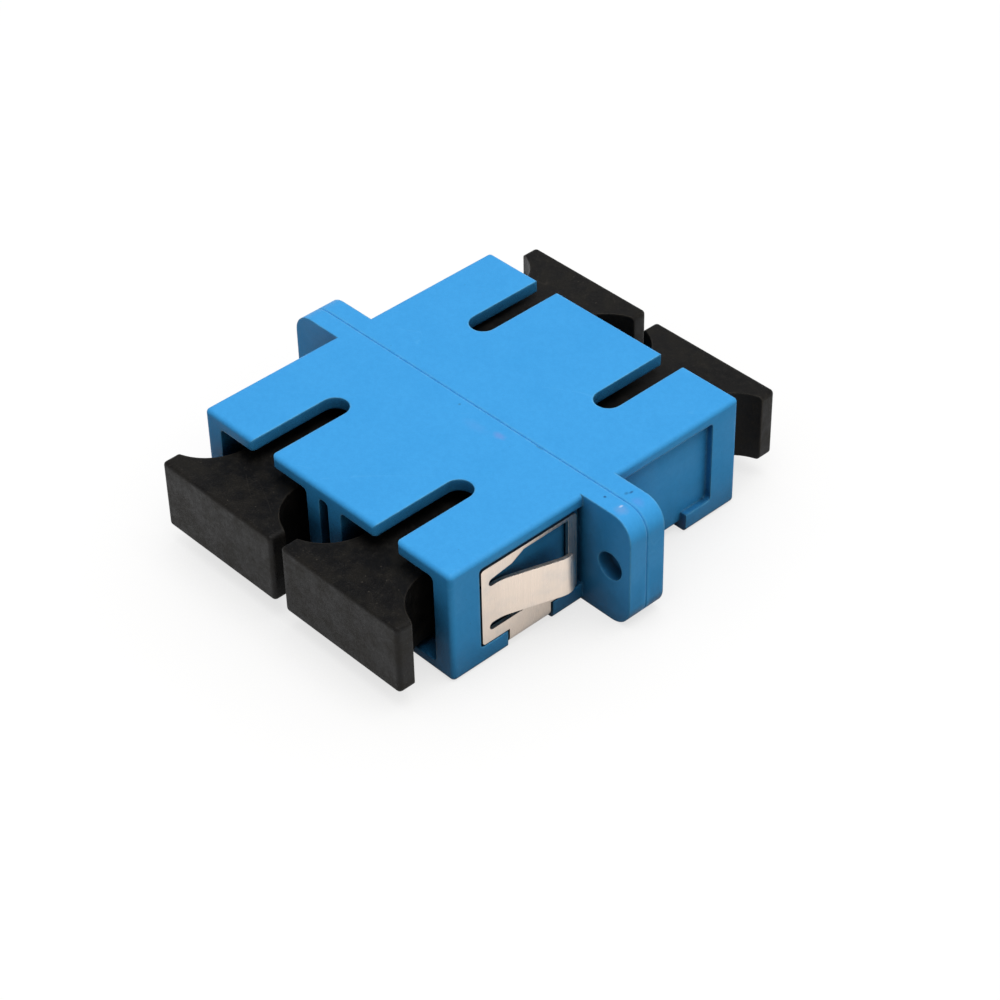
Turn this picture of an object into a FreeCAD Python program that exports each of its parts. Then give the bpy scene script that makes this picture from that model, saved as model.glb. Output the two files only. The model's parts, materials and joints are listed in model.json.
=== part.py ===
"""Flanged duplex SC fibre adapter as a parametric FreeCAD document.

+X runs along the flange, +Y through the ports from front to rear, +Z up to the keyways.
The origin is the centre of the face where the two housing halves meet.
Lengths are in millimetres and angles in degrees.
"""
import FreeCAD, Part
import math
import os
import Sketcher

from FreeCAD import Placement, Rotation, Vector

# Driving sizes: name in the sheet, value, meaning.
SIZES = [
    # housing halves, two of the same moulding back to back
    ("body_width", 25.2, "housing across both ports"),
    ("body_height", 9.2, "housing and flange, top to bottom"),
    ("half_length", 13.6, "one half, from mating face to port mouth"),
    ("outer_round", 0.35, "radius of the long edges and of the edges round the mouths"),
    ("flange_width", 34.2, "flange from ear tip to ear tip"),
    ("flange_half", 1.6, "each half's share of the flange thickness"),
    ("ear_round", 1.7, "corner radius of the ears"),
    ("screw_spacing", 30.4, "between the two screw holes"),
    ("screw_hole", 2.2, "diameter of a screw hole"),
    ("seam_bevel", 0.08, "chamfer where the halves meet"),
    # ports
    ("port_pitch", 12.7, "between the two port axes"),
    ("port_width", 9.2, "inside of a port"),
    ("top_wall", 0.95, "wall over a port"),
    ("bottom_wall", 0.85, "wall under a port"),
    ("port_round", 0.4, "radius in the port's corners"),
    ("keyway_width", 2.15, "slot for the plug's key"),
    ("keyway_length", 7.6, "slot from the mouth inwards"),
    ("keyway_round", 0.3, "radius of the slot's outer corners"),
    ("core_width", 0.9, "coring slot in the wall between the ports"),
    ("core_depth", 10.0, "coring slot from the mouth inwards"),
    ("core_round", 0.35, "radius of the slot's corners"),
    ("seat_width", 10.4, "recess that traps a latch insert's base"),
    ("seat_depth", 1.2, "depth of that recess from the mating face"),
    # dowels that line the halves up
    ("dowel_diameter", 1.2, "moulded dowel"),
    ("dowel_length", 0.8, "how far a dowel stands out"),
    ("dowel_spacing", 25.7, "between a half's dowel and its socket"),
    ("dowel_rise", 2.6, "dowel above the centre"),
    ("dowel_gap", 0.05, "clearance round and past a dowel"),
    # recess for the panel clip, in both sides and across the bottom
    ("recess_depth", 0.55, "side recess below the housing's side"),
    ("recess_end", 11.05, "far edge of the side recess from the mating face"),
    ("recess_top", 3.72, "top edge of the side recess above centre"),
    ("recess_bottom", 3.12, "bottom edge of the side recess below centre"),
    ("recess_round", 0.3, "radius of the side recess's far corners"),
    ("channel_start", 4.4, "near edge of the bottom channel from the mating face"),
    ("channel_end", 8.6, "far edge of the bottom channel"),
    ("channel_depth", 0.55, "bottom channel below the housing's bottom"),
    ("channel_round", 0.3, "radius where side recess and channel meet"),
    # panel clip, bent from spring strip
    ("clip_gauge", 0.3, "thickness of the strip"),
    ("clip_gap", 0.08, "web to channel, and plate to the recess's bottom edge"),
    ("clip_stand_off", 0.22, "side plate to the recess's floor"),
    ("clip_top_gap", 0.29, "side plate to the recess's top edge"),
    ("clip_end_gap", 0.2, "side plate to the recess's far edge, and web to the channel's ends"),
    ("clip_flange_gap", 0.55, "clip plate to the flange"),
    ("clip_corner", 0.25, "radius of a side plate's corners"),
    ("window_bar", 0.75, "bar that closes the window next to the flange"),
    ("window_top", 3.17, "top edge of the window's tall part above centre"),
    ("window_tall_from", 7.0, "where the tall part starts from the mating face"),
    ("window_low_top", 2.58, "top edge of the window where its low part ends"),
    ("window_low_to", 8.1, "where the low part ends"),
    ("slit_height", 0.62, "slit above and below the tongue"),
    ("slit_end", 10.2, "rounded end of the slits from the mating face"),
    ("tongue_width", 3.2, "spring tongue"),
    ("tongue_rise", 0.12, "tongue's centre above the housing's"),
    ("tongue_root", 9.58, "where the tongue leaves the plate"),
    ("tongue_lean", 18.4, "angle of the tongue to the plate"),
    ("tongue_root_bend", 3.0, "radius of the outer face at the root"),
    ("tongue_run", 3.94, "straight part of the tongue"),
    ("tongue_crown_bend", 2.0, "radius of the outer face at the crown"),
    ("tongue_curl", 19.0, "angle of the tip past the crown, inwards"),
    ("tongue_corner", 0.4, "radius of the tip's corners"),
    # latch inserts, one per port and half
    ("insert_gap", 0.05, "insert base to its seat"),
    ("barrel_diameter", 4.1, "sleeve holder"),
    ("barrel_lip", 0.55, "lip that keeps the sleeve in"),
    ("lip_bore", 2.9, "opening in the lip"),
    ("arm_outer", 4.0, "outer face of a latch arm from the port axis"),
    ("arm_thickness", 0.65, "latch arm"),
    ("arm_height", 4.8, "latch arm, upright"),
    ("arm_reach", 8.6, "latch arm's tip from the mating face"),
    ("arm_root", 0.3, "radius at an arm's foot"),
    ("hook_lead", 1.1, "sloping part of the hook"),
    ("hook_land", 0.4, "flat part of the hook"),
    ("hook_gap", 0.1, "hook to a dust cap's plug"),
    # split sleeves
    ("sleeve_length", 11.4, "ceramic sleeve"),
    ("sleeve_outer", 3.2, "its outside diameter"),
    ("ferrule_bore", 2.5, "its inside diameter"),
    ("sleeve_slit", 0.5, "width of its slit"),
    ("sleeve_bevel", 0.12, "chamfer at its inside edges"),
    ("sleeve_float", 0.05, "clearance round the sleeve and at each end"),
    # dust caps
    ("cap_width", 11.7, "grip plate, across"),
    ("cap_height", 5.6, "grip plate and plug, top to bottom"),
    ("cap_plate", 1.3, "thickness of the grip plate"),
    ("cap_standoff", 3.0, "grip plate to the port mouth"),
    ("cap_corner", 0.35, "radius of the plate's upright and end edges"),
    ("cap_round", 0.25, "radius of the plate's long edges"),
    ("neck_angle", 14.0, "neck's curve to the back of the grip plate"),
    ("plug_width", 5.8, "plug between the latch hooks"),
    ("plug_tip", 3.0, "plug's end from the mating face"),
    ("plug_side_gap", 0.2, "plug's pocket to the barrel, sideways"),
    ("plug_lift_gap", 0.5, "plug's pocket to the barrel, up and down"),
    ("plug_end_gap", 0.9, "plug's pocket past the barrel's end"),
    ("cap_lift_front", -0.22, "how the front caps sit, from the port axis"),
    ("cap_lift_rear_left", 0.42, "how the rear left cap sits"),
    ("cap_lift_rear_right", 0.0, "how the rear right cap sits"),
]

NEAR = 1e-4    # two coordinates nearer than this are the same


class Size:
    """A number together with the sheet expression that gives it."""

    def __init__(self, value, text):
        self.value = value
        self.text = text

    def join(self, sign, other, value):
        return Size(value, f"({self.text} {sign} {size_of(other).text})")

    def __add__(self, other):
        return self.join("+", other, self.value + size_of(other).value)

    def __sub__(self, other):
        return self.join("-", other, self.value - size_of(other).value)

    def __mul__(self, other):
        return self.join("*", other, self.value * size_of(other).value)

    def __truediv__(self, other):
        return self.join("/", other, self.value / size_of(other).value)

    def __neg__(self):
        return Size(-self.value, f"(0 - {self.text})")


def size_of(item):
    if isinstance(item, Size):
        return item
    return Size(float(item), repr(float(item)))


OVERCUT = size_of(1.0)    # how far a cut runs past the face that it breaks through


def sine(angle):
    return Size(math.sin(math.radians(angle.value)), f"sin({angle.text})")


def cosine(angle):
    return Size(math.cos(math.radians(angle.value)), f"cos({angle.text})")


class Cells:
    """Reads a named cell of the sheet as a Size: cells.body_width."""

    def __init__(self, sheet):
        self.sheet = sheet

    def __getattr__(self, alias):
        return Size(float(self.sheet.get(alias)), f"Sizes.{alias}")


class Arc:
    """A step of an outline: an arc to a point about a centre, turning left or right."""

    def __init__(self, point, centre, turn):
        self.point = point
        self.centre = centre
        self.turn = turn


def make_sheet(doc):
    sheet = doc.addObject("Spreadsheet::Sheet", "Sizes")
    for row, (alias, value, meaning) in enumerate(SIZES, start=1):
        sheet.set(f"A{row}", alias)
        sheet.set(f"B{row}", str(value))
        sheet.set(f"C{row}", meaning)
        sheet.setAlias(f"B{row}", alias)
    doc.recompute()
    return sheet


# Sketches


def pin_point(sketch, edge, end, point, axes):
    """Fix a sketch point by its distances from the origin, bound to the sheet."""
    for axis in axes:
        distance = size_of(point["XY".index(axis)])
        if distance.text == "0.0":
            sketch.addConstraint(
                Sketcher.Constraint("PointOnObject", edge, end, -2 if axis == "X" else -1))
            continue
        number = sketch.addConstraint(
            Sketcher.Constraint(f"Distance{axis}", -1, 1, edge, end, distance.value))
        sketch.setExpression(f"Constraints[{number}]", distance.text)


def flat(point):
    return Vector(size_of(point[0]).value, size_of(point[1]).value, 0)


def draw_outline(sketch, steps):
    """Draw a closed outline: a start point, then points (lines) and Arcs. It closes by a line."""
    start = flat(steps[0])
    edges = []
    here = start
    for step in steps[1:] + [steps[0]]:
        if isinstance(step, Arc):
            there, centre = flat(step.point), flat(step.centre)
            first, last = (here, there) if step.turn == "left" else (there, here)
            circle = Part.Circle(centre, Vector(0, 0, 1), (here - centre).Length)
            arc = Part.ArcOfCircle(circle, angle_from(centre, first), angle_from(centre, last))
            number = sketch.addGeometry(arc)
            begin, end = (1, 2) if step.turn == "left" else (2, 1)
            pin_point(sketch, number, 3, step.centre, "XY")
        else:
            there = flat(step)
            number = sketch.addGeometry(Part.LineSegment(here, there))
            begin, end = 1, 2
        edges.append((number, begin, end, step))
        here = there
    for index, (number, begin, end, step) in enumerate(edges):
        follower = edges[(index + 1) % len(edges)]
        sketch.addConstraint(
            Sketcher.Constraint("Coincident", number, end, follower[0], follower[1]))
    pin_point(sketch, edges[0][0], edges[0][1], steps[0], "XY")
    for number, begin, end, step in edges[:-1]:
        if isinstance(step, Arc):
            spoke = flat(step.point) - flat(step.centre)
            axes = "X" if abs(spoke.y) > abs(spoke.x) else "Y"
            pin_point(sketch, number, end, step.point, axes)
        else:
            pin_point(sketch, number, end, step, "XY")


def angle_from(centre, point):
    return math.atan2(point.y - centre.y, point.x - centre.x)


def draw_circle(sketch, centre, radius):
    number = sketch.addGeometry(Part.Circle(flat(centre), Vector(0, 0, 1), radius.value))
    pin_point(sketch, number, 3, centre, "XY")
    bound = sketch.addConstraint(Sketcher.Constraint("Radius", number, radius.value))
    sketch.setExpression(f"Constraints[{bound}]", radius.text)


def rectangle(low_x, low_y, high_x, high_y):
    return [(low_x, low_y), (high_x, low_y), (high_x, high_y), (low_x, high_y)]


def rounded_rectangle(low_x, low_y, high_x, high_y, radius):
    in_x, in_y = size_of(low_x) + radius, size_of(low_y) + radius
    out_x, out_y = size_of(high_x) - radius, size_of(high_y) - radius
    return [
        (low_x, in_y),
        Arc((in_x, low_y), (in_x, in_y), "left"),
        (out_x, low_y),
        Arc((high_x, in_y), (out_x, in_y), "left"),
        (high_x, out_y),
        Arc((out_x, high_y), (out_x, out_y), "left"),
        (in_x, high_y),
        Arc((low_x, out_y), (in_x, out_y), "left"),
    ]


# Features


def new_body(doc, label):
    body = doc.addObject("PartDesign::Body", label)
    body.Label = label
    return body


def origin_plane(body, role):
    for feature in body.Origin.OriginFeatures:
        if feature.Role == role:
            return feature
    raise ValueError(f"{body.Label} has no {role}")


def new_sketch(body, name, plane, offset, outlines, circles):
    """A sketch on a body's own origin plane, moved along the plane's normal by offset."""
    sketch = body.newObject("Sketcher::SketchObject", name)
    sketch.AttachmentSupport = (origin_plane(body, plane), [""])
    sketch.MapMode = "FlatFace"
    sketch.setExpression("AttachmentOffset.Base.z", size_of(offset).text)
    for outline in outlines:
        draw_outline(sketch, outline)
    for centre, radius in circles:
        draw_circle(sketch, centre, radius)
    return sketch


def extrude(body, kind, name, plane, start, length, outlines=(), circles=()):
    """Pad or pocket from start, along the plane's normal (-Y for XZ, +Z for XY, +X for YZ)."""
    before = body.Shape.Volume if body.Tip else 0.0
    sketch = new_sketch(body, f"{name}_sketch", plane, start, outlines, circles)
    feature = body.newObject(f"PartDesign::{kind}", name)
    feature.Profile = sketch
    feature.setExpression("Length", size_of(length).text)
    feature.Reversed = kind == "Pocket"
    body.Document.recompute()
    check_change(body, name, before, grows=kind == "Pad")
    return feature


def check_change(body, name, before, grows):
    change = body.Shape.Volume - before
    if (change > 0) != grows or abs(change) < NEAR:
        raise ValueError(f"{body.Label}: {name} changed the volume by {change:.4f}")


def mirror(body, name, feature):
    """Repeat a feature on the other side of the body's YZ plane."""
    before = body.Shape.Volume
    copy = body.newObject("PartDesign::Mirrored", name)
    copy.Originals = [feature]
    copy.MirrorPlane = (origin_plane(body, "YZ_Plane"), [""])
    body.Tip = copy
    body.Document.recompute()
    check_change(body, name, before, grows="Pad" in feature.TypeId)


def finish_edges(body, kind, name, amount, wanted):
    """Fillet or chamfer every edge of the body for which wanted(edge) is true."""
    base = body.Tip
    found = [f"Edge{n}" for n, edge in enumerate(base.Shape.Edges, start=1) if wanted(edge)]
    feature = body.newObject(f"PartDesign::{kind}", name)
    feature.Base = (base, found)
    feature.setExpression("Radius" if kind == "Fillet" else "Size", amount.text)
    body.Document.recompute()


def lies_at(edge, x=None, y=None, z=None):
    """True if the whole edge lies at each coordinate that is given."""
    box = edge.BoundBox
    low = (box.XMin, box.YMin, box.ZMin)
    high = (box.XMax, box.YMax, box.ZMax)
    for place, bottom, top in zip((x, y, z), low, high):
        if place is None:
            continue
        if abs(bottom - size_of(place).value) > NEAR or abs(top - size_of(place).value) > NEAR:
            return False
    return True


def runs_along(edge, axis):
    """True for a straight edge parallel to the axis, 0 for X, 1 for Y and 2 for Z."""
    if not isinstance(edge.Curve, Part.Line):
        return False
    direction = edge.Curve.Direction
    return abs(abs(direction[axis]) - 1) < NEAR


# Sub-parts


def port_span(c):
    """Bottom and top of a port."""
    return c.bottom_wall - c.body_height / 2, c.body_height / 2 - c.top_wall


def port_axis_height(c):
    low, high = port_span(c)
    return (low + high) / 2


def make_housing(doc, c, label, turn):
    """One half of the housing: port block, flange, ports, keyways and clip recess."""
    body = new_body(doc, label)
    half_x, half_z = c.body_width / 2, c.body_height / 2
    mouth = -c.half_length
    low, high = port_span(c)

    extrude(body, "Pad", "block", "XZ_Plane", 0, c.half_length,
            [rectangle(-half_x, -half_z, half_x, half_z)])
    finish_edges(body, "Fillet", "outer_edges", c.outer_round,
                 lambda edge: not lies_at(edge, y=0)
                 and (lies_at(edge, y=mouth) or not runs_along(edge, 2)))
    ear = c.flange_width / 2
    extrude(body, "Pad", "flange", "XZ_Plane", 0, c.flange_half,
            [rounded_rectangle(-ear, -half_z, ear, half_z, c.ear_round)])

    sides = (-1, 1)
    axes = [c.port_pitch / 2 * side for side in sides]
    wide = c.port_width / 2
    extrude(body, "Pocket", "ports", "XZ_Plane", -OVERCUT, c.half_length + OVERCUT * 2,
            [rounded_rectangle(x - wide, low, x + wide, high, c.port_round) for x in axes])
    seat = c.seat_width / 2
    extrude(body, "Pocket", "insert_seats", "XZ_Plane", -OVERCUT, c.seat_depth + OVERCUT,
            [rectangle(x - seat, low, x + seat, high) for x in axes])
    core = c.core_width / 2
    extrude(body, "Pocket", "coring_slot", "XZ_Plane", c.half_length - c.core_depth,
            c.core_depth + OVERCUT,
            [rounded_rectangle(-core, low, core, high, c.core_round)])

    extrude(body, "Pocket", "keyways", "XY_Plane", high - OVERCUT, c.top_wall + OVERCUT * 2,
            [keyway_outline(c, x) for x in axes])

    floor_x = half_x - c.recess_depth
    far, bottom, top, bend = -c.recess_end, -c.recess_bottom, c.recess_top, c.recess_round
    recess = extrude(body, "Pocket", "side_recess", "YZ_Plane", floor_x, c.recess_depth + OVERCUT,
                     [[(-c.flange_half, bottom), (-c.flange_half, top), (far + bend, top),
                       Arc((far, top - bend), (far + bend, top - bend), "left"),
                       (far, bottom + bend),
                       Arc((far + bend, bottom), (far + bend, bottom + bend), "left")]])
    mirror(body, "side_recess_left", recess)
    floor_z = c.channel_depth - half_z
    out_x, out_z = half_x + OVERCUT, -half_z - OVERCUT
    bend_x, bend_z = floor_x - c.channel_round, floor_z + c.channel_round
    extrude(body, "Pocket", "clip_channel", "XZ_Plane", c.channel_start,
            c.channel_end - c.channel_start,
            [[(floor_x, -c.recess_bottom), (out_x, -c.recess_bottom), (out_x, out_z),
              (-out_x, out_z), (-out_x, -c.recess_bottom), (-floor_x, -c.recess_bottom),
              (-floor_x, bend_z), Arc((-bend_x, floor_z), (-bend_x, bend_z), "left"),
              (bend_x, floor_z), Arc((floor_x, bend_z), (bend_x, bend_z), "left")]])

    extrude(body, "Pocket", "screw_holes", "XZ_Plane", -OVERCUT, c.flange_half + OVERCUT * 2,
            circles=[((c.screw_spacing / 2 * side, 0), c.screw_hole / 2) for side in sides])
    dowel = c.dowel_spacing / 2
    extrude(body, "Pad", "dowel", "XZ_Plane", -c.dowel_length, c.dowel_length,
            circles=[((-dowel, c.dowel_rise), c.dowel_diameter / 2)])
    extrude(body, "Pocket", "dowel_socket", "XZ_Plane", -OVERCUT,
            c.dowel_length + c.dowel_gap + OVERCUT,
            circles=[((dowel, c.dowel_rise), c.dowel_diameter / 2 + c.dowel_gap)])
    finish_edges(body, "Chamfer", "seam", c.seam_bevel,
                 lambda edge: lies_at(edge, y=0) and on_rim(edge, ear, half_z))
    body.Placement = Placement(Vector(0, 0, 0), Rotation(Vector(0, 0, 1), turn))
    return body


def keyway_outline(c, x):
    """A slot open at the mouth, where its corners are rounded, and round at its inner end."""
    wide, flare = c.keyway_width / 2, c.keyway_round
    mouth = -c.half_length
    inner = mouth + c.keyway_length - wide
    outer = wide + flare
    return [(x - outer, mouth - OVERCUT), (x + outer, mouth - OVERCUT), (x + outer, mouth),
            Arc((x + wide, mouth + flare), (x + outer, mouth + flare), "right"),
            (x + wide, inner),
            Arc((x - wide, inner), (x, inner), "left"),
            (x - wide, mouth + flare),
            Arc((x - outer, mouth), (x - outer, mouth + flare), "right")]


def on_rim(edge, limit_x, limit_z):
    """True if the edge reaches the rectangle with those half sizes."""
    box = edge.BoundBox
    reach_x = max(abs(box.XMin), abs(box.XMax))
    reach_z = max(abs(box.ZMin), abs(box.ZMax))
    return reach_x > limit_x.value - NEAR or reach_z > limit_z.value - NEAR


def make_clip(doc, c, label):
    """Panel clip: a web under the housing, a plate up each side, a spring tongue in each."""
    body = new_body(doc, label)
    in_x = c.body_width / 2 - c.recess_depth + c.clip_stand_off
    out_x = in_x + c.clip_gauge
    in_z = c.channel_depth - c.body_height / 2 - c.clip_gap
    out_z = in_z - c.clip_gauge
    bend = c.channel_round + c.clip_gap
    bend_x, bend_z = in_x - bend, in_z + bend
    front = c.clip_end_gap - c.recess_end
    back = -c.flange_half - c.clip_flange_gap
    top = c.recess_top - c.clip_top_gap
    low = c.clip_gap - c.recess_bottom
    web_front = c.clip_end_gap - c.channel_end
    web_back = -c.channel_start - c.clip_end_gap

    web_top = low + c.clip_gauge
    extrude(body, "Pad", "web", "XZ_Plane", -web_back, web_back - web_front,
            [[(in_x, web_top), (in_x, bend_z), Arc((bend_x, in_z), (bend_x, bend_z), "right"),
              (-bend_x, in_z), Arc((-in_x, bend_z), (-bend_x, bend_z), "right"),
              (-in_x, web_top), (-out_x, web_top), (-out_x, bend_z),
              Arc((-bend_x, out_z), (-bend_x, bend_z), "left"),
              (bend_x, out_z), Arc((out_x, bend_z), (bend_x, bend_z), "left"),
              (out_x, web_top)]])

    upper = c.tongue_rise + c.tongue_width / 2
    lower = c.tongue_rise - c.tongue_width / 2
    half_slit = c.slit_height / 2
    slit_centre = half_slit - c.slit_end
    root = -c.tongue_root
    bar = back - c.window_bar
    window = [(root, lower), (root, upper), (slit_centre, upper),
              Arc((slit_centre, upper + c.slit_height), (slit_centre, upper + half_slit), "right"),
              (-c.window_low_to, c.window_low_top), (-c.window_tall_from, c.window_top),
              (bar, c.window_top), (bar, lower - c.slit_height),
              (slit_centre, lower - c.slit_height),
              Arc((slit_centre, lower), (slit_centre, lower - half_slit), "right")]
    side = extrude(body, "Pad", "side_plate", "YZ_Plane", in_x, c.clip_gauge,
                   [rectangle(front, low, back, top), window])
    mirror(body, "side_plate_left", side)

    blade = extrude(body, "Pad", "tongue", "XY_Plane", lower, c.tongue_width,
                    [tongue_outline(c, in_x, out_x, root)])
    mirror(body, "tongue_left", blade)
    finish_edges(body, "Fillet", "tongue_corners", c.tongue_corner,
                 lambda edge: spans(edge, c.clip_gauge) and not runs_along(edge, 0)
                 and (lies_at(edge, z=upper) or lies_at(edge, z=lower)))
    corners = [(front, low), (front, top), (back, low), (back, top)]
    finish_edges(body, "Fillet", "plate_corners", c.clip_corner,
                 lambda edge: runs_along(edge, 0)
                 and any(lies_at(edge, y=y, z=z) for y, z in corners))
    return body


def spans(edge, length):
    """True for a straight edge of that length."""
    return isinstance(edge.Curve, Part.Line) and abs(edge.Length - length.value) < NEAR


def tongue_outline(c, in_x, out_x, root):
    """Edge-on outline of a tongue: bent out at its root, straight, then curled in at its tip."""
    out, up = sine(c.tongue_lean), cosine(c.tongue_lean)
    tip_out, tip_up = cosine(c.tongue_curl), sine(c.tongue_curl)
    gauge = c.clip_gauge

    root_centre = (out_x + c.tongue_root_bend, root)

    def leaving(radius):
        return root_centre[0] - radius * up, root_centre[1] + radius * out

    outer_leave = leaving(c.tongue_root_bend)
    inner_leave = leaving(c.tongue_root_bend + gauge)
    run_x, run_y = c.tongue_run * out, c.tongue_run * up
    outer_crown = (outer_leave[0] + run_x, outer_leave[1] + run_y)
    inner_crown = (inner_leave[0] + run_x, inner_leave[1] + run_y)
    crown_centre = (outer_crown[0] - c.tongue_crown_bend * up,
                    outer_crown[1] + c.tongue_crown_bend * out)

    def tip(radius):
        return crown_centre[0] + radius * tip_out, crown_centre[1] + radius * tip_up

    foot = root - gauge
    return [(in_x, foot), (out_x, foot), (out_x, root),
            Arc(outer_leave, root_centre, "right"), outer_crown,
            Arc(tip(c.tongue_crown_bend), crown_centre, "left"),
            tip(c.tongue_crown_bend - gauge),
            Arc(inner_crown, crown_centre, "right"), inner_leave,
            Arc((in_x, root), root_centre, "left")]


def barrel_end(c):
    """Front end of the sleeve holder from the mating face."""
    return c.sleeve_length / 2 + c.sleeve_float + c.barrel_lip


def make_insert(doc, c, label, placement):
    """Latch insert: a trapped base, the sleeve holder and two hooked spring arms."""
    body = new_body(doc, label)
    low, high = port_span(c)
    base_x = c.seat_width / 2 - c.insert_gap
    base_z = (high - low) / 2 - c.insert_gap
    base_end = c.seat_depth - c.insert_gap
    extrude(body, "Pad", "base", "XZ_Plane", 0, base_end,
            [rectangle(-base_x, -base_z, base_x, base_z)])
    extrude(body, "Pad", "barrel", "XZ_Plane", 0, barrel_end(c),
            circles=[((0, 0), c.barrel_diameter / 2)])

    arm_in = c.arm_outer - c.arm_thickness
    hook = c.plug_width / 2 + c.hook_gap
    latch_face = c.hook_lead + c.hook_land - c.arm_reach
    foot = base_end / -2
    arm = extrude(body, "Pad", "arm", "XY_Plane", c.arm_height / -2, c.arm_height,
                  [[(arm_in, foot), (arm_in, latch_face), (hook, latch_face),
                    (hook, c.hook_lead - c.arm_reach), (arm_in, -c.arm_reach),
                    (c.arm_outer, -c.arm_reach), (c.arm_outer, foot)]])
    mirror(body, "arm_left", arm)
    finish_edges(body, "Fillet", "arm_feet", c.arm_root,
                 lambda edge: runs_along(edge, 2) and lies_at(edge, y=-base_end)
                 and reaches(edge, arm_in, c.arm_outer))
    sleeve_space = c.sleeve_outer / 2 + c.sleeve_float
    extrude(body, "Pocket", "sleeve_bore", "XZ_Plane", -OVERCUT,
            barrel_end(c) - c.barrel_lip + OVERCUT, circles=[((0, 0), sleeve_space)])
    extrude(body, "Pocket", "lip_opening", "XZ_Plane", -OVERCUT, barrel_end(c) + OVERCUT * 2,
            circles=[((0, 0), c.lip_bore / 2)])
    body.Placement = placement
    return body


def reaches(edge, nearest, farthest):
    """True if the edge's distance from the YZ plane is one of the two."""
    x = abs(edge.BoundBox.XMin)
    return abs(x - nearest.value) < NEAR or abs(x - farthest.value) < NEAR


def make_sleeve(doc, c, label, placement):
    """Split alignment sleeve that floats in the two holders of a port."""
    body = new_body(doc, label)
    bore, outside, end = c.ferrule_bore / 2, c.sleeve_outer / 2, c.sleeve_length / 2
    bevel = c.sleeve_bevel
    sketch = new_sketch(body, "wall_sketch", "XY_Plane", 0,
                        [[(outside, -end), (outside, end), (bore + bevel, end),
                          (bore, end - bevel), (bore, bevel - end), (bore + bevel, -end)]], [])
    wall = body.newObject("PartDesign::Revolution", "wall")
    wall.Profile = sketch
    wall.ReferenceAxis = (sketch, ["V_Axis"])
    doc.recompute()
    slit = c.sleeve_slit / 2
    extrude(body, "Pocket", "slit", "XZ_Plane", -end - OVERCUT, c.sleeve_length + OVERCUT * 2,
            [rectangle(-slit, 0, slit, outside + OVERCUT)])
    body.Placement = placement
    return body


def make_cap(doc, c, label, placement):
    """Dust cap: a grip plate, a neck that narrows in two hollow curves, and a hollow plug."""
    body = new_body(doc, label)
    wide, plug = c.cap_width / 2, c.plug_width / 2
    plate_back = -c.half_length - c.cap_standoff
    face = plate_back - c.cap_plate
    sweep = (wide - plug) / (size_of(1.0) - sine(c.neck_angle))
    neck = plate_back + sweep * cosine(c.neck_angle)
    extrude(body, "Pad", "cap", "XY_Plane", c.cap_height / -2, c.cap_height,
            [[(-wide, face), (wide, face), (wide, plate_back),
              Arc((plug, neck), (plug + sweep, neck), "right"), (plug, -c.plug_tip),
              (-plug, -c.plug_tip), (-plug, neck),
              Arc((-wide, plate_back), (-plug - sweep, neck), "right")]])
    finish_edges(body, "Fillet", "long_edges", c.cap_round,
                 lambda edge: runs_along(edge, 0) and lies_at(edge, y=face))
    finish_edges(body, "Fillet", "end_edges", c.cap_corner,
                 lambda edge: runs_along(edge, 2) and lies_at(edge, y=face))
    reach_x = c.barrel_diameter / 2 + c.plug_side_gap
    reach_z = c.barrel_diameter / 2 + c.plug_lift_gap
    extrude(body, "Pocket", "barrel_pocket", "XZ_Plane", c.plug_tip - OVERCUT,
            barrel_end(c) + c.plug_end_gap - c.plug_tip + OVERCUT,
            [rectangle(-reach_x, -reach_z, reach_x, reach_z)])
    body.Placement = placement
    return body


# Assembly


def place(x, z, turn):
    return Placement(Vector(x.value, 0, z.value), Rotation(Vector(0, 0, 1), turn))


def build(doc, c):
    """Make every sub-part where it sits. Ends are front and rear, sides left and right."""
    ends = {"front": 0, "rear": 180}
    sides = {"left": -c.port_pitch / 2, "right": c.port_pitch / 2}
    axis = port_axis_height(c)
    lifts = {
        "front_left": c.cap_lift_front,
        "front_right": c.cap_lift_front,
        "rear_left": c.cap_lift_rear_left,
        "rear_right": c.cap_lift_rear_right,
    }
    bodies = [make_housing(doc, c, f"housing_{end}", turn) for end, turn in ends.items()]
    bodies.append(make_clip(doc, c, "panel_clip"))
    for side, x in sides.items():
        bodies.append(make_sleeve(doc, c, f"split_sleeve_{side}", place(x, axis, 0)))
        for end, turn in ends.items():
            spot = f"{end}_{side}"
            bodies.append(make_insert(doc, c, f"latch_insert_{spot}", place(x, axis, turn)))
            bodies.append(make_cap(doc, c, f"dust_cap_{spot}", place(x, axis + lifts[spot], turn)))
    doc.recompute()
    return bodies


def check(doc, bodies):
    for item in doc.Objects:
        if "Invalid" in item.State or "Error" in item.State:
            raise ValueError(f"{item.Name} failed: {item.State}")
    for body in bodies:
        if body.Shape.isNull() or not body.Shape.isValid() or len(body.Shape.Solids) != 1:
            raise ValueError(f"{body.Label} is not one valid solid")


def main():
    doc = FreeCAD.newDocument("sc_fibre_adapter")
    cells = Cells(make_sheet(doc))
    bodies = build(doc, cells)
    check(doc, bodies)
    os.makedirs("parts", exist_ok=True)
    for body in bodies:
        body.Shape.exportStep(f"parts/{body.Label}.step")
        print(f"{body.Label}: {body.Shape.Volume:.3f} mm3")


main()
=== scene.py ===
import json
import math

import bpy
from mathutils import Matrix, Vector


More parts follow.
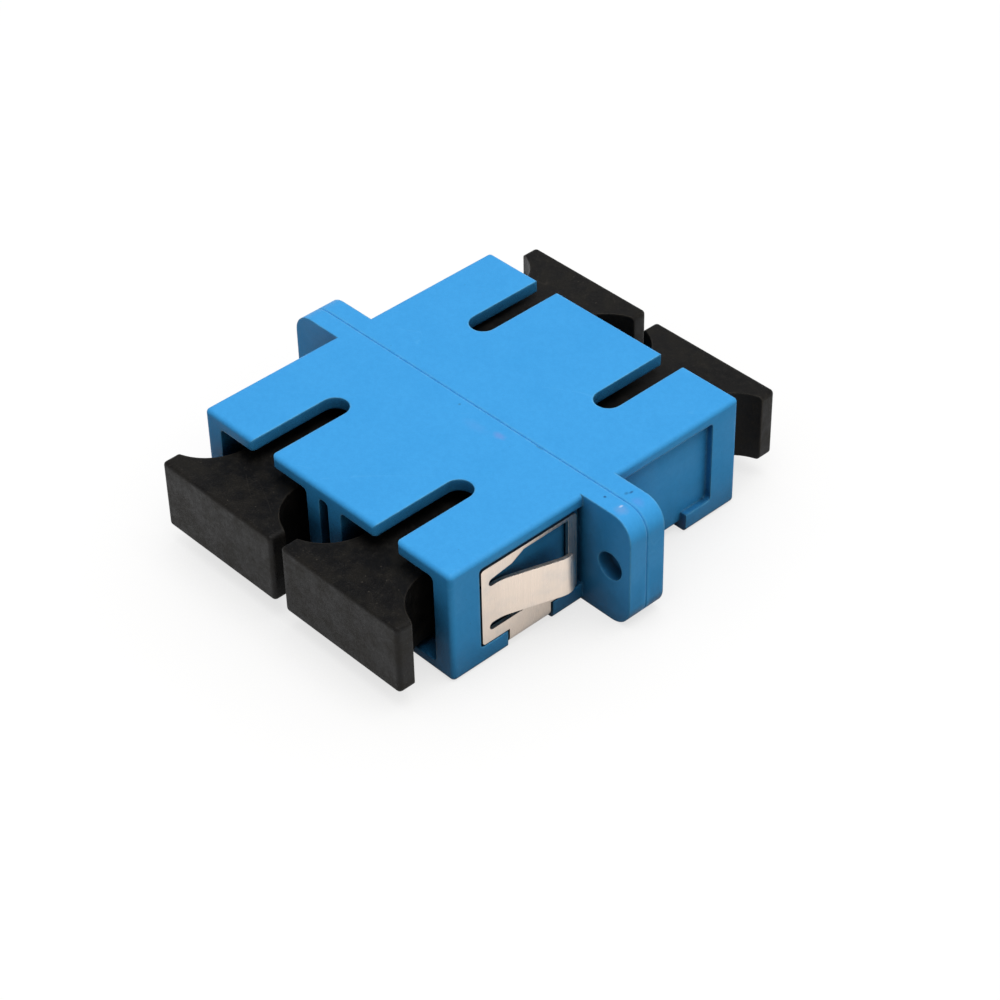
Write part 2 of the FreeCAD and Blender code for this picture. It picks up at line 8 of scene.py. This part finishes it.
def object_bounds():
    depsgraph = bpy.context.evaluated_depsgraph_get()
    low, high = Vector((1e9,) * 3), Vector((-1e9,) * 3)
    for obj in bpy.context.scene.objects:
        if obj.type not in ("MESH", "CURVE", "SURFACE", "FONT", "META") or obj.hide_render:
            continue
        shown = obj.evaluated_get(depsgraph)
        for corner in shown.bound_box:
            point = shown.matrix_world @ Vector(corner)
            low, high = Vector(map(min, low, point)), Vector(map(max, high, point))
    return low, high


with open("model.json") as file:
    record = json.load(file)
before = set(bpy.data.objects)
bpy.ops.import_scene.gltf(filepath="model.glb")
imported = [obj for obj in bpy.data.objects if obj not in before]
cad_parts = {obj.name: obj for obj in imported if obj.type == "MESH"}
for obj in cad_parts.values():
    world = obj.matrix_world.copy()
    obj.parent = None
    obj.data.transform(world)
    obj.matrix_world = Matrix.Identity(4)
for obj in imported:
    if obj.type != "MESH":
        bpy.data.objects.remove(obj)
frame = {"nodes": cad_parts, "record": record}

mm = 0.001    # the scene is in metres, and the settings below are in millimetres
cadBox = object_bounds()
nodes = frame["nodes"]
print("frame loaded,", len(nodes), "pieces")


# Small helpers for node trees.
def makeNode(tree, kind, inputs=None, **options):
    made = tree.nodes.new(kind)
    for name, value in options.items():
        setattr(made, name, value)
    for name, value in (inputs or {}).items():
        if isinstance(value, bpy.types.NodeSocket):
            tree.links.new(value, made.inputs[name])
        else:
            made.inputs[name].default_value = value
    return made


def calc(tree, operation, first, second=0.0, clamp=False):
    made = makeNode(tree, "ShaderNodeMath", {0: first, 1: second}, operation=operation, use_clamp=clamp)
    return made.outputs[0]


def remap(tree, value, low, high, newLow=0.0, newHigh=1.0):
    inputs = {"Value": value, "From Min": low, "From Max": high, "To Min": newLow, "To Max": newHigh}
    return makeNode(tree, "ShaderNodeMapRange", inputs, interpolation_type="SMOOTHSTEP").outputs[0]


def mixColour(tree, amount, first, second, mode="MIX"):
    made = makeNode(tree, "ShaderNodeMix", data_type="RGBA", blend_type=mode)
    for index, value in ((0, amount), (6, first), (7, second)):
        if isinstance(value, bpy.types.NodeSocket):
            tree.links.new(value, made.inputs[index])
        else:
            made.inputs[index].default_value = value if index == 0 else (*value, 1)
    return made.outputs[2]


def vectorCalc(tree, operation, first, second, output=0):
    return makeNode(tree, "ShaderNodeVectorMath", {0: first, 1: second}, operation=operation).outputs[output]


def occlusion(tree, reach, samples):
    made = makeNode(tree, "ShaderNodeAmbientOcclusion", {"Distance": reach}, samples=samples)
    return made.outputs["AO"]


# Size is the width of one blotch, in metres, as a number or a socket.
def noise(tree, where, size, detail=2.0, roughness=0.5):
    scale = calc(tree, "DIVIDE", 1.0, size)
    inputs = {"Vector": where, "Scale": scale, "Detail": detail, "Roughness": roughness}
    return makeNode(tree, "ShaderNodeTexNoise", inputs).outputs[0]


def newGroup(name, inputs, outputs):
    tree = bpy.data.node_groups.new(name, "ShaderNodeTree")
    for label, value in inputs.items():
        kind = "NodeSocketVector" if isinstance(value, tuple) else "NodeSocketFloat"
        tree.interface.new_socket(label, in_out="INPUT", socket_type=kind).default_value = value
    for label in outputs:
        tree.interface.new_socket(label, in_out="OUTPUT", socket_type="NodeSocketFloat")
    return tree, makeNode(tree, "NodeGroupInput").outputs, makeNode(tree, "NodeGroupOutput")


def useGroup(tree, group, **inputs):
    made = makeNode(tree, "ShaderNodeGroup", node_tree=group)
    for label, value in inputs.items():
        if isinstance(value, bpy.types.NodeSocket):
            tree.links.new(value, made.inputs[label])
        else:
            made.inputs[label].default_value = value
    return made.outputs


def whereOnPiece(tree):
    return makeNode(tree, "ShaderNodeTexCoord").outputs["Object"]


# Surface effects that several finishes share come first.
# Fine spark-eroded grain of a moulding tool, and slow patches where the plastic flowed.
def buildMouldSkin():
    tree, given, result = newGroup(
        "mouldSkin", {"grainSize": 0.1 * mm, "patchSize": 4 * mm}, ["grain", "patches"])
    where = whereOnPiece(tree)
    fine = noise(tree, where, given["grainSize"], 3.0, 0.6)
    coarse = noise(tree, where, calc(tree, "MULTIPLY", given["grainSize"], 3.3), 1.0)
    both = calc(tree, "ADD", calc(tree, "MULTIPLY", fine, 0.65), calc(tree, "MULTIPLY", coarse, 0.35))
    tree.links.new(both, result.inputs["grain"])
    tree.links.new(noise(tree, where, given["patchSize"], 3.0, 0.55), result.inputs["patches"])
    return tree


# How open the surface is to the room, and how deep it lies in a corner or slot.
def buildHollows():
    tree, given, result = newGroup(
        "hollows", {"reach": 2 * mm, "breakupSize": 1.2 * mm}, ["openness", "depth"])
    openness = occlusion(tree, given["reach"], 3)
    # An underside rests on the floor and is no hollow.
    normal = makeNode(tree, "ShaderNodeNewGeometry").outputs["Normal"]
    facing = makeNode(tree, "ShaderNodeSeparateXYZ", {0: normal}).outputs[2]
    openness = calc(tree, "MAXIMUM", openness, remap(tree, facing, -0.6, -0.95))
    blotches = noise(tree, whereOnPiece(tree), given["breakupSize"])
    ragged = calc(tree, "MULTIPLY", calc(tree, "SUBTRACT", blotches, 0.5), 0.15)
    tree.links.new(openness, result.inputs["openness"])
    tree.links.new(remap(tree, calc(tree, "ADD", openness, ragged), 0.86, 0.28), result.inputs["depth"])
    return tree


# Edges rounded off for light, fine relief on top, and a mask of those edges, where handling has polished
# them and where a painted highlight lightens them.
def buildRelief():
    tree, given, result = newGroup("relief", {
        "height": 0.0, "depth": 0.004 * mm, "softness": 0.15 * mm, "openness": 1.0, "breakupSize": 0.8 * mm,
    }, ["rubbed"])
    tree.interface.new_socket("normal", in_out="OUTPUT", socket_type="NodeSocketVector")
    rounded = makeNode(tree, "ShaderNodeBevel", {"Radius": given["softness"]}, samples=4).outputs[0]
    raised = makeNode(tree, "ShaderNodeBump", {
        "Height": given["height"], "Distance": given["depth"], "Normal": rounded})
    true = makeNode(tree, "ShaderNodeNewGeometry").outputs["Normal"]
    agree = vectorCalc(tree, "DOT_PRODUCT", rounded, true, output="Value")
    outside = remap(tree, given["openness"], 0.38, 0.72)
    breakup = remap(tree, noise(tree, whereOnPiece(tree), given["breakupSize"], 3.0), 0.30, 0.60, 0.35, 1.0)
    bent = calc(tree, "MULTIPLY", remap(tree, agree, 0.998, 0.88), outside)
    tree.links.new(calc(tree, "MULTIPLY", bent, breakup), result.inputs["rubbed"])
    tree.links.new(raised.outputs[0], result.inputs["normal"])
    return tree


# Scattered grains: share is the part of the cells that hold one.
def buildSpecks():
    tree, given, result = newGroup(
        "specks", {"cellSize": 0.5 * mm, "speckSize": 0.2, "share": 0.1}, ["speck", "tint"])
    scale = calc(tree, "DIVIDE", 1.0, given["cellSize"])
    cells = makeNode(tree, "ShaderNodeTexVoronoi", {"Vector": whereOnPiece(tree), "Scale": scale})
    parts = makeNode(tree, "ShaderNodeSeparateColor", {0: cells.outputs["Color"]}).outputs
    chosen = calc(tree, "LESS_THAN", parts[0], given["share"])
    spread = calc(tree, "ADD", calc(tree, "MULTIPLY", parts[1], 0.8), 0.4)
    size = calc(tree, "MULTIPLY", given["speckSize"], spread)
    inner = calc(tree, "MULTIPLY", size, 0.6)
    shape = makeNode(tree, "ShaderNodeMapRange", {
        "Value": cells.outputs["Distance"], "From Min": size, "From Max": inner}).outputs[0]
    tree.links.new(calc(tree, "MULTIPLY", shape, chosen), result.inputs["speck"])
    tree.links.new(parts[2], result.inputs["tint"])
    return tree


# Thin handling scratches: narrow bands of a stretched noise, kept only in some places.
def buildHairlines():
    tree, given, result = newGroup(
        "hairlines", {"size": 2 * mm, "width": 0.01, "turn": 0.5, "share": 0.5}, ["scratch"])
    turned = makeNode(tree, "ShaderNodeVectorRotate", {
        "Vector": whereOnPiece(tree), "Angle": given["turn"], "Axis": (0.2, 0.3, 1.0)}).outputs[0]
    stretched = vectorCalc(tree, "MULTIPLY", turned, (1.0, 0.12, 0.5))
    bands = calc(tree, "ABSOLUTE", calc(tree, "SUBTRACT", noise(tree, stretched, given["size"], 0.0), 0.5))
    line = makeNode(tree, "ShaderNodeMapRange", {
        "Value": bands, "From Min": given["width"], "From Max": 0.0}).outputs[0]
    places = noise(tree, turned, calc(tree, "MULTIPLY", given["size"], 1.4), 1.0)
    gate = calc(tree, "GREATER_THAN", places, given["share"])
    tree.links.new(calc(tree, "MULTIPLY", line, gate), result.inputs["scratch"])
    return tree


# One soft uneven mark round a centre.
def buildSmudge():
    tree, given, result = newGroup(
        "smudge", {"centre": (0.0, 0.0, 0.0), "radius": 0.3 * mm, "stretch": (1.0, 1.0, 1.0)}, ["mark"])
    offset = vectorCalc(tree, "SUBTRACT", whereOnPiece(tree), given["centre"])
    scaled = vectorCalc(tree, "MULTIPLY", offset, given["stretch"])
    far = makeNode(tree, "ShaderNodeVectorMath", {0: scaled}, operation="LENGTH").outputs["Value"]
    ragged = noise(tree, whereOnPiece(tree), calc(tree, "MULTIPLY", given["radius"], 0.7), 3.0, 0.7)
    edge = calc(tree, "MULTIPLY", given["radius"], calc(tree, "ADD", ragged, 0.5))
    mark = makeNode(tree, "ShaderNodeMapRange", {
        "Value": far, "From Min": edge, "From Max": calc(tree, "MULTIPLY", edge, 0.25)}).outputs[0]
    tree.links.new(mark, result.inputs["mark"])
    return tree


effects = {
    "mouldSkin": buildMouldSkin(),
    "hollows": buildHollows(),
    "relief": buildRelief(),
    "specks": buildSpecks(),
    "hairlines": buildHairlines(),
    "smudge": buildSmudge(),
}
print("surface effects built")


# A material with a Principled shader whose fixed values are set on its own sockets.
def newFinish(name, **constants):
    made = bpy.data.materials.new(name)
    made.use_nodes = True
    tree = made.node_tree
    shader = tree.nodes["Principled BSDF"]
    for label, value in constants.items():
        shader.inputs[label].default_value = value
    return made, tree, shader


housingLook = {
    "blue": (0.045, 0.352, 0.785),
    "deepBlue": (0.041, 0.340, 0.765),    # where the flow left it denser
    "rubbedBlue": (0.150, 0.540, 0.900),
    "cornerShadeBlue": (0.002, 0.024, 0.062),   # painted shade in the corners
    "slotShadeBlack": (0.0004, 0.002, 0.006),  # painted shade down in the slots
    "cornerShadeReach": 5.0 * mm,
    "cornerShadeShare": 0.92,
    "slotShadeShare": 0.92,
    "seamReach": 0.55 * mm,               # little painted shade this near the seam of the two halves
    "grainBlue": (0.0, 0.15, 0.48),
    "grainShare": 0.13,
    "rubAndHighlightShare": 0.72,
    "rubPolish": 0.10,
    "scratches": {"size": 2.4 * mm, "width": 0.006, "turn": 0.9, "share": 0.58},
    "scratchShare": 0.12,
    "specks": {"cellSize": 0.9 * mm, "speckSize": 0.09, "share": 0.10},
    "speckBlue": (0.01, 0.10, 0.28),
    "speckShare": 0.30,
    "roughness": (0.42, 0.54),
    "grainSize": 0.11 * mm,
    "grainDepth": 0.004 * mm,
    "patchSize": 3.5 * mm,
    "softness": 0.24 * mm,
}

# Small marks on the top face, in millimetres from the centre: place, radius, stretch, colour, strength.
topMarks = [
    ((-0.46, -0.69), 0.15, (1.0, 1.0), (0.03, 0.14, 0.26), 0.55),
    ((4.04, -1.16), 0.55, (0.8, 1.3), (0.22, 0.26, 0.66), 0.36),
    ((6.85, -0.12), 0.36, (0.8, 3.2), (0.02, 0.14, 0.28), 0.55),
    ((2.10, -1.60), 0.90, (0.6, 1.6), (0.14, 0.33, 0.74), 0.16),
    ((13.73, -0.66), 0.14, (1.0, 1.0), (0.01, 0.05, 0.16), 0.90),
    ((14.48, 0.62), 0.20, (1.2, 0.8), (0.01, 0.08, 0.22), 0.50),
    ((14.62, 0.94), 0.20, (1.6, 0.8), (0.01, 0.05, 0.18), 0.75),
    # A painted highlight: the small whitish spot below.
    ((15.18, -0.60), 0.18, (1.5, 0.8), (0.75, 0.82, 0.95), 0.60),
    ((15.45, -0.85), 0.60, (1.0, 1.0), (0.22, 0.34, 0.64), 0.36),
    ((15.62, 0.55), 0.60, (1.0, 1.2), (0.14, 0.26, 0.74), 0.30),
]


def makeHousingFinish(name, look, marks):
    made, tree, shader = newFinish(name, **{"IOR": 1.50, "Specular IOR Level": 0.16})
    skin = useGroup(tree, effects["mouldSkin"], grainSize=look["grainSize"], patchSize=look["patchSize"])
    hollow = useGroup(tree, effects["hollows"], reach=look["cornerShadeReach"])
    lines = useGroup(tree, effects["hairlines"], **look["scratches"])["scratch"]
    dots = useGroup(tree, effects["specks"], **look["specks"])
    height = calc(tree, "SUBTRACT", skin["grain"], calc(tree, "MULTIPLY", lines, 0.6))
    relief = useGroup(tree, effects["relief"], height=height, depth=look["grainDepth"],
                      softness=look["softness"], openness=hollow["openness"])
    rub = relief["rubbed"]

    colour = mixColour(tree, remap(tree, skin["patches"], 0.35, 0.68), look["blue"], look["deepBlue"])
    grain = remap(tree, skin["grain"], 0.36, 0.64, 0.0, look["grainShare"])
    colour = mixColour(tree, grain, colour, look["grainBlue"])
    # Painted shade: corners and hollows darkened by how closed in they are, held back near the seam of the
    # two halves.
    away = makeNode(tree, "ShaderNodeSeparateXYZ", {0: whereOnPiece(tree)}).outputs[1]
    away = remap(tree, calc(tree, "ABSOLUTE", away), 0.2 * look["seamReach"], look["seamReach"], 0.15, 1.0)
    cornerShade = calc(tree, "MULTIPLY", calc(tree, "MULTIPLY", hollow["depth"], look["cornerShadeShare"]), away)
    colour = mixColour(tree, cornerShade, colour, look["cornerShadeBlue"])
    # Painted shade: near black down in the slots and other closed hollows.
    deep = remap(tree, hollow["openness"], 0.34, 0.10, 0.0, look["slotShadeShare"])
    colour = mixColour(tree, deep, colour, look["slotShadeBlack"])
    # Lighter edges: handling wear and a painted highlight along the rounded edges.
    colour = mixColour(tree, calc(tree, "MULTIPLY", rub, look["rubAndHighlightShare"]), colour, look["rubbedBlue"])
    colour = mixColour(tree, calc(tree, "MULTIPLY", lines, look["scratchShare"]), colour, look["rubbedBlue"])
    speck = calc(tree, "MULTIPLY", dots["speck"], look["speckShare"])
    colour = mixColour(tree, speck, colour, look["speckBlue"])
    top = cadBox[1].z
    for (x, y), radius, (stretchX, stretchY), tint, strength in marks:
        mark = useGroup(tree, effects["smudge"], centre=(x * mm, y * mm, top), radius=radius * mm,
                        stretch=(stretchX, stretchY, 1.0))["mark"]
        colour = mixColour(tree, calc(tree, "MULTIPLY", mark, strength), colour, tint)
    tree.links.new(colour, shader.inputs["Base Color"])

    low, high = look["roughness"]
    rough = remap(tree, skin["patches"], 0.3, 0.7, low, high)
    rough = calc(tree, "SUBTRACT", rough, calc(tree, "MULTIPLY", rub, look["rubPolish"]))
    tree.links.new(rough, shader.inputs["Roughness"])
    tree.links.new(relief["normal"], shader.inputs["Normal"])
    return made


capLook = {
    "black": (0.0052, 0.0051, 0.0054),
    "brownBlack": (0.0090, 0.0082, 0.0068),
    "dust": (0.100, 0.088, 0.072),
    "roughness": (0.42, 0.62),
    "grainSize": 0.12 * mm,
    "grainDepth": 0.016 * mm,
    "patchSize": 1.6 * mm,
    "softness": 0.20 * mm,
    "hollowReach": 3.0 * mm,
    "hollowShadeBlack": (0.002, 0.002, 0.002),
    "hollowShadeShare": 0.8,
    "grainShare": 0.12,
    "rubSize": 1.4 * mm,
    "rubAndHighlightShare": 0.42,
    "rubPolish": 0.10,
    "specks": {"cellSize": 0.32 * mm, "speckSize": 0.20, "share": 0.22},
    "speckShare": 0.35,
    "scratches": {"size": 1.6 * mm, "width": 0.010, "turn": 2.1, "share": 0.58},
    "scratchShare": 0.10,
}


def makeCapFinish(name, look):
    made, tree, shader = newFinish(name, **{"IOR": 1.50, "Specular IOR Level": 0.19})
    skin = useGroup(tree, effects["mouldSkin"], grainSize=look["grainSize"], patchSize=look["patchSize"])
    hollow = useGroup(tree, effects["hollows"], reach=look["hollowReach"])
    relief = useGroup(tree, effects["relief"], height=skin["grain"], depth=look["grainDepth"],
                      softness=look["softness"], openness=hollow["openness"], breakupSize=look["rubSize"])
    rub = relief["rubbed"]
    dots = useGroup(tree, effects["specks"], **look["specks"])
    lines = useGroup(tree, effects["hairlines"], **look["scratches"])["scratch"]

    colour = mixColour(tree, remap(tree, skin["patches"], 0.4, 0.62), look["black"], look["brownBlack"])
    grain = remap(tree, skin["grain"], 0.50, 0.70, 0.0, look["grainShare"])
    colour = mixColour(tree, grain, colour, look["dust"])
    strength = calc(tree, "MULTIPLY", dots["tint"], look["speckShare"])
    dusty = calc(tree, "MULTIPLY", dots["speck"], strength)
    colour = mixColour(tree, dusty, colour, look["dust"])
    # Lighter edges: dust caught on them and a painted highlight along the rounded edges.
    colour = mixColour(tree, calc(tree, "MULTIPLY", rub, look["rubAndHighlightShare"]), colour, look["dust"])
    colour = mixColour(tree, calc(tree, "MULTIPLY", lines, look["scratchShare"]), colour, look["dust"])
    # Painted shade: the caps darkened towards black in their hollows and close to other parts.
    shaded = calc(tree, "MULTIPLY", hollow["depth"], look["hollowShadeShare"])
    colour = mixColour(tree, shaded, colour, look["hollowShadeBlack"])
    tree.links.new(colour, shader.inputs["Base Color"])

    low, high = look["roughness"]
    rough = remap(tree, skin["grain"], 0.3, 0.7, low, high)
    rough = calc(tree, "ADD", rough, remap(tree, skin["patches"], 0.35, 0.65, -0.05, 0.06))
    rough = calc(tree, "SUBTRACT", rough, calc(tree, "MULTIPLY", rub, look["rubPolish"]))
    tree.links.new(rough, shader.inputs["Roughness"])
    tree.links.new(relief["normal"], shader.inputs["Normal"])
    return made


clipLook = {
    "steel": (0.810, 0.690, 0.590),
    "greyed": (0.700, 0.625, 0.560),
    "tarnish": (0.190, 0.150, 0.120),
    "roughness": (0.26, 0.40),
    "grainAcross": 0.05 * mm,    # width of one rolling line
    "grainAlong": 3.0 * mm,
    "grainDepth": 0.0010 * mm,
    "softness": 0.05 * mm,
    "skinSize": 0.16 * mm,
    "patchSize": 1.8 * mm,
    "hollowReach": 3.0 * mm,
    "hollowSize": 0.8 * mm,
    "tarnishShare": 0.5,
    "rolledShare": 0.22,
    "rubbedSteel": (0.98, 0.92, 0.84),
    "rubSize": 0.5 * mm,
    "rubAndHighlightShare": 0.4,
    "scratches": {"size": 1.2 * mm, "width": 0.012, "turn": 1.3, "share": 0.52},
    "scratchRoughness": 0.12,
}


def makeClipFinish(name, look):
    made, tree, shader = newFinish(name, **{"Metallic": 1.0, "IOR": 2.5})
    where = whereOnPiece(tree)
    squeeze = look["grainAcross"] / look["grainAlong"]
    along = vectorCalc(tree, "MULTIPLY", where, (squeeze, 1.0, squeeze))
    rolled = noise(tree, along, look["grainAcross"], 2.0, 0.6)
    skin = useGroup(tree, effects["mouldSkin"], grainSize=look["skinSize"], patchSize=look["patchSize"])
    hollow = useGroup(tree, effects["hollows"], reach=look["hollowReach"], breakupSize=look["hollowSize"])
    lines = useGroup(tree, effects["hairlines"], **look["scratches"])["scratch"]
    height = calc(tree, "ADD", rolled, calc(tree, "MULTIPLY", skin["grain"], 0.8))
    relief = useGroup(tree, effects["relief"], height=height, depth=look["grainDepth"],
                      softness=look["softness"], openness=hollow["openness"], breakupSize=look["rubSize"])

    colour = mixColour(tree, remap(tree, skin["patches"], 0.40, 0.75), look["steel"], look["greyed"])
    greyer = remap(tree, rolled, 0.35, 0.75, 0.0, look["rolledShare"])
    colour = mixColour(tree, greyer, colour, look["greyed"])
    tarnished = calc(tree, "MULTIPLY", hollow["depth"], look["tarnishShare"])
    colour = mixColour(tree, tarnished, colour, look["tarnish"])
    rubbed = calc(tree, "MULTIPLY", relief["rubbed"], look["rubAndHighlightShare"])
    colour = mixColour(tree, rubbed, colour, look["rubbedSteel"])
    tree.links.new(colour, shader.inputs["Base Color"])

    low, high = look["roughness"]
    scratched = calc(tree, "MULTIPLY", lines, look["scratchRoughness"])
    rough = calc(tree, "ADD", remap(tree, rolled, 0.3, 0.7, low, high), scratched)
    tree.links.new(rough, shader.inputs["Roughness"])
    tree.links.new(relief["normal"], shader.inputs["Normal"])
    return made


sleeveLook = {
    "ivory": (0.86, 0.84, 0.79),
    "white": (0.90, 0.89, 0.87),
    "roughness": (0.16, 0.26),
    "grindingLine": 0.06 * mm,
    "grindingDepth": 0.0006 * mm,
    "ringStretch": (0.05, 1.0, 0.05),
    "grainSize": 0.05 * mm,
    "patchSize": 2.0 * mm,
    "softness": 0.08 * mm,
}


def makeSleeveFinish(name, look):
    made, tree, shader = newFinish(name, **{"IOR": 2.1, "Specular IOR Level": 0.5})
    where = whereOnPiece(tree)
    rings = vectorCalc(tree, "MULTIPLY", where, look["ringStretch"])
    ground = noise(tree, rings, look["grindingLine"], 2.0)
    skin = useGroup(tree, effects["mouldSkin"], grainSize=look["grainSize"], patchSize=look["patchSize"])
    relief = useGroup(
        tree, effects["relief"], height=ground, depth=look["grindingDepth"], softness=look["softness"])
    colour = mixColour(tree, skin["patches"], look["ivory"], look["white"])
    tree.links.new(colour, shader.inputs["Base Color"])
    low, high = look["roughness"]
    tree.links.new(remap(tree, ground, 0.3, 0.7, low, high), shader.inputs["Roughness"])
    tree.links.new(relief["normal"], shader.inputs["Normal"])
    return made


insertLook = dict(
    housingLook, blue=(0.032, 0.310, 0.750), deepBlue=(0.026, 0.280, 0.690), roughness=(0.36, 0.46))

finishes = {
    "housing_plastic": makeHousingFinish("blueMoulding", housingLook, topMarks),
    "insert_plastic": makeHousingFinish("insertMoulding", insertLook, []),
    "spring_steel": makeClipFinish("rolledSpringSteel", clipLook),
    "sleeve_zirconia": makeSleeveFinish("groundZirconia", sleeveLook),
    "cap_plastic": makeCapFinish("blackMoulding", capLook),
}


# Every piece gets the finish of its material slot in the record.
def dressNodes():
    for entry in frame["record"]["subparts"]:
        piece = nodes[entry["node"]]
        finish = finishes[entry["material_slot"]]
        piece.data.materials.clear()
        piece.data.materials.append(finish)


dressNodes()
print("finishes applied:", ", ".join(sorted(finishes)))


studioLook = {
    "floorSize": 3.0,
    "floorDrop": 0.02 * mm,
    "floorShade": 0.12,          # what the floor throws back onto the object
    "floorSeen": 0.88,           # added for the camera
    "floorMirrored": 1.00,       # added in reflections
    "contactReach": 12 * mm,     # how far the painted shadow round the object's foot spreads
    "contactSeen": 0.22,
    "contactMirrored": 0.75,
    "skyLow": 0.85,              # the sky in reflections, near the horizon and high up
    "skyHigh": 0.02,
    "fillEven": 0.14,            # the sky as a lamp: all over, from above, from +X and from behind
    "fillAbove": 0.30,
    "fillRight": 0.46,
    "fillBehind": 0.50,
    "rightTint": (1.20, 1.00, 0.75),
    "keyPower": 2.55,
    "keySize": 0.45,
    "keyPlace": (0.095, 0.020, 0.600),
}


def addFloor(look):
    half = look["floorSize"] / 2
    mesh = bpy.data.meshes.new("floor")
    corners = [(-half, -half, 0), (half, -half, 0), (half, half, 0), (-half, half, 0)]
    mesh.from_pydata(corners, [], [(0, 1, 2, 3)])
    floor = bpy.data.objects.new("floor", mesh)
    bpy.context.scene.collection.objects.link(floor)
    floor.location.z = cadBox[0].z - look["floorDrop"]
    made = bpy.data.materials.new("paleFloor")
    made.use_nodes = True
    tree = made.node_tree
    tree.nodes.clear()
    shade = look["floorShade"]
    matt = makeNode(tree, "ShaderNodeBsdfDiffuse", {"Color": (shade, shade, shade, 1)}).outputs[0]
    path = makeNode(tree, "ShaderNodeLightPath").outputs
    mirrored = calc(tree, "MAXIMUM", path["Is Glossy Ray"], path["Is Transmission Ray"])
    # Painted shadow: the floor's glow is dimmed where the object closes off the room, for the camera and in
    # reflections.
    openness = occlusion(tree, look["contactReach"], 4)
    seen, inMirror = look["floorSeen"], look["floorMirrored"]
    seenGlow = remap(tree, openness, 0.0, 1.0, seen * (1 - look["contactSeen"]), seen)
    mirroredGlow = remap(tree, openness, 0.0, 1.0, inMirror * (1 - look["contactMirrored"]), inMirror)
    strength = calc(tree, "ADD", calc(tree, "MULTIPLY", path["Is Camera Ray"], seenGlow),
                    calc(tree, "MULTIPLY", mirrored, mirroredGlow))
    glow = makeNode(tree, "ShaderNodeEmission", {"Strength": strength}).outputs[0]
    both = makeNode(tree, "ShaderNodeAddShader", {0: matt, 1: glow}).outputs[0]
    # From below the floor is clear, so the underside can be looked at.
    below = makeNode(tree, "ShaderNodeNewGeometry").outputs["Backfacing"]
    clear = makeNode(tree, "ShaderNodeBsdfTransparent").outputs[0]
    oneSided = makeNode(tree, "ShaderNodeMixShader", {0: below, 1: both, 2: clear}).outputs[0]
    makeNode(tree, "ShaderNodeOutputMaterial", {"Surface": oneSided})
    mesh.materials.append(made)


# White for the camera, pale low down and darker overhead in reflections, and a soft lamp for the rest.
def addSky(look):
    world = bpy.data.worlds.new("studio")
    bpy.context.scene.world = world
    world.use_nodes = True
    tree = world.node_tree
    tree.nodes.clear()
    direction = makeNode(tree, "ShaderNodeTexCoord").outputs["Generated"]
    across, deep, rise = makeNode(tree, "ShaderNodeSeparateXYZ", {0: direction}).outputs
    shown = remap(tree, rise, 0.25, 0.60, look["skyLow"], look["skyHigh"])
    path = makeNode(tree, "ShaderNodeLightPath").outputs
    mirrored = calc(tree, "MAXIMUM", path["Is Glossy Ray"], path["Is Transmission Ray"])
    grey = calc(tree, "MAXIMUM", path["Is Camera Ray"], calc(tree, "MULTIPLY", mirrored, shown))
    lamp = calc(tree, "SUBTRACT", 1.0, calc(tree, "MAXIMUM", path["Is Camera Ray"], mirrored))

    above = calc(tree, "MULTIPLY", calc(tree, "MAXIMUM", rise, 0.0), look["fillAbove"])
    diagonal = calc(tree, "MULTIPLY", calc(tree, "SUBTRACT", deep, across), 0.707)
    behind = calc(tree, "MAXIMUM", diagonal, 0.0)
    fromBehind = calc(tree, "MULTIPLY", behind, look["fillBehind"])
    even = calc(tree, "ADD", calc(tree, "ADD", above, look["fillEven"]), fromBehind)
    even = calc(tree, "ADD", calc(tree, "MULTIPLY", even, lamp), grey)
    right = calc(tree, "MULTIPLY", calc(tree, "MAXIMUM", across, 0.0), look["fillRight"])
    right = calc(tree, "MULTIPLY", right, lamp)
    tinted = makeNode(
        tree, "ShaderNodeVectorMath", {0: look["rightTint"], "Scale": right}, operation="SCALE").outputs[0]
    plain = makeNode(tree, "ShaderNodeCombineXYZ", {0: even, 1: even, 2: even}).outputs[0]
    colour = vectorCalc(tree, "ADD", plain, tinted)
    sky = makeNode(tree, "ShaderNodeBackground", {"Color": colour}).outputs[0]
    makeNode(tree, "ShaderNodeOutputWorld", {"Surface": sky})


def addKeyLight(look):
    lamp = bpy.data.lights.new("softbox", "AREA")
    lamp.shape = "SQUARE"
    lamp.size = look["keySize"]
    lamp.energy = look["keyPower"]
    holder = bpy.data.objects.new("softbox", lamp)
    holder.location = look["keyPlace"]
    holder.rotation_euler = (-holder.location).to_track_quat("-Z", "Y").to_euler()
    bpy.context.scene.collection.objects.link(holder)


cameraLook = {
    "azimuth": 47.50,
    "elevation": 39.50,
    "roll": -1.29,
    "distance": 192.85,
    "aimRight": 1.898,
    "aimUp": -3.185,
    "lens": 98.6,
}


def addCamera(look):
    turn, lift = math.radians(look["azimuth"]), math.radians(look["elevation"])
    back = Vector((math.sin(turn) * math.cos(lift), -math.cos(turn) * math.cos(lift), math.sin(lift)))
    facing = (-back).to_track_quat("-Z", "Y").to_matrix()
    facing = facing @ Matrix.Rotation(math.radians(look["roll"]), 3, "Z")
    right, up = facing.col[0], facing.col[1]
    camera = bpy.data.objects.new("camera", bpy.data.cameras.new("camera"))
    camera.data.lens = look["lens"]
    camera.data.clip_start = 0.01
    place = back * look["distance"] + right * look["aimRight"] + up * look["aimUp"]
    camera.matrix_world = Matrix.Translation(place * mm) @ facing.to_4x4()
    bpy.context.scene.collection.objects.link(camera)
    bpy.context.scene.camera = camera


addFloor(studioLook)
addSky(studioLook)
addKeyLight(studioLook)
addCamera(cameraLook)
bpy.context.scene.view_settings.view_transform = "Standard"
print("studio and camera in place")
